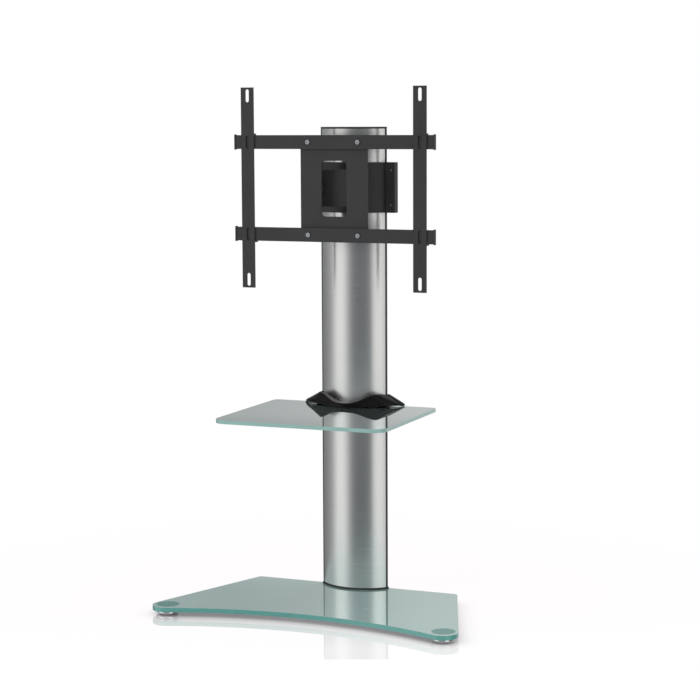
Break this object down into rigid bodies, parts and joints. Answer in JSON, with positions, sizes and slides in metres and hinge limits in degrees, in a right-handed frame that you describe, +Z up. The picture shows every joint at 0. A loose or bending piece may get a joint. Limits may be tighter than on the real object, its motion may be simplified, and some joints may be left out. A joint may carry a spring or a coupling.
{
  "type": "tv stand with mount",
  "caption": "Floor stand with a glass base and shelf, a curved aluminium column with a cable duct, and a mount that slides, swivels and tilts.",
  "frame": {"origin": "on the floor, under the middle of the width and depth of the base", "axes": "+X to the right of someone facing the front, +Y to the back, +Z up"},
  "size_m": [0.7, 0.346, 1.136],
  "materials": {
    "glass": "polished green-tinted safety glass",
    "brushed_aluminium": "fine horizontal brushing",
    "chrome": "bright chrome",
    "zinc": "zinc plated",
    "black_steel": "satin black powder coat",
    "gloss_black": "high gloss",
    "black_plastic": "fine satin texture",
    "rubber": "matt"
  },
  "bodies": {
    "stand": {"base_glass": "glass", "front_foot_plate_left": "zinc", "front_foot_plate_right": "zinc", "under_plate": "black_steel", "under_gasket": "rubber", "base_screw_1": "zinc", "base_screw_2": "zinc", "column_gasket": "rubber", "column": "brushed_aluminium", "cable_cover": "black_plastic", "column_cap": "black_plastic"},
    "front_foot_left": {"front_foot_left": "chrome", "front_foot_pad_left": "rubber"},
    "front_foot_right": {"front_foot_right": "chrome", "front_foot_pad_right": "rubber"},
    "rear_foot_left": {"rear_foot_left": "black_plastic"},
    "rear_foot_right": {"rear_foot_right": "black_plastic"},
    "shelf": {"shelf_glass": "glass", "shelf_bracket": "black_steel", "shelf_clamp": "black_steel", "shelf_clamp_screw_1": "zinc", "shelf_clamp_screw_2": "zinc", "shelf_pad_1": "rubber", "shelf_pad_2": "rubber", "collar_screw_1": "zinc", "collar_screw_2": "zinc", "collar_screw_3": "zinc", "collar_screw_4": "zinc", "collar_front": "gloss_black", "collar_rear": "gloss_black"},
    "carriage": {"carriage": "black_steel", "carriage_clamp": "black_steel", "carriage_screw_1": "zinc", "carriage_screw_2": "zinc", "carriage_screw_3": "zinc", "carriage_screw_4": "zinc", "swivel_pin": "zinc", "swivel_nut": "zinc", "swivel_washer_1": "black_plastic", "swivel_washer_2": "black_plastic"},
    "yoke": {"yoke": "black_steel", "tilt_washer_1": "black_plastic", "tilt_washer_2": "black_plastic"},
    "tilt_frame": {"tilt_plate": "black_steel", "rail_upper": "black_steel", "rail_lower": "black_steel", "rail_cap_1": "black_plastic", "rail_cap_2": "black_plastic", "rail_cap_3": "black_plastic", "rail_cap_4": "black_plastic", "rail_bolt_1": "zinc", "rail_bolt_2": "zinc", "rail_bolt_3": "zinc", "rail_bolt_4": "zinc", "tilt_bolt_1": "zinc", "tilt_bolt_2": "zinc"},
    "arm_left": {"arm_left": "black_steel", "arm_lock_left": "black_plastic"},
    "arm_right": {"arm_right": "black_steel", "arm_lock_right": "black_plastic"}
  },
  "joints": [
    {"name": "front_foot_left_level", "type": "slide", "parent": "stand", "child": "front_foot_left", "axis": [0, 0, -1], "range_m": [0, 0.003]},
    {"name": "front_foot_right_level", "type": "slide", "parent": "stand", "child": "front_foot_right", "axis": [0, 0, -1], "range_m": [0, 0.003]},
    {"name": "rear_foot_left_level", "type": "slide", "parent": "stand", "child": "rear_foot_left", "axis": [0, 0, -1], "range_m": [0, 0.003]},
    {"name": "rear_foot_right_level", "type": "slide", "parent": "stand", "child": "rear_foot_right", "axis": [0, 0, -1], "range_m": [0, 0.003]},
    {"name": "shelf_height", "type": "slide", "parent": "stand", "child": "shelf", "axis": [0, 0, 1], "range_m": [-0.2, 0.1]},
    {"name": "mount_height", "type": "slide", "parent": "stand", "child": "carriage", "axis": [0, 0, 1], "range_m": [-0.12, 0.07]},
    {"name": "swivel", "type": "hinge", "parent": "carriage", "child": "yoke", "pos_m": [0, 0.101, 0.918], "axis": [0, 0, 1], "range_deg": [-20, 20]},
    {"name": "tilt", "type": "hinge", "parent": "yoke", "child": "tilt_frame", "pos_m": [0, 0.066, 0.918], "axis": [1, 0, 0], "range_deg": [-5, 15]},
    {"name": "arm_left_slide", "type": "slide", "parent": "tilt_frame", "child": "arm_left", "axis": [1, 0, 0], "range_m": [-0.014, 0.1]},
    {"name": "arm_right_slide", "type": "slide", "parent": "tilt_frame", "child": "arm_right", "axis": [-1, 0, 0], "range_m": [-0.014, 0.1]}
  ]
}
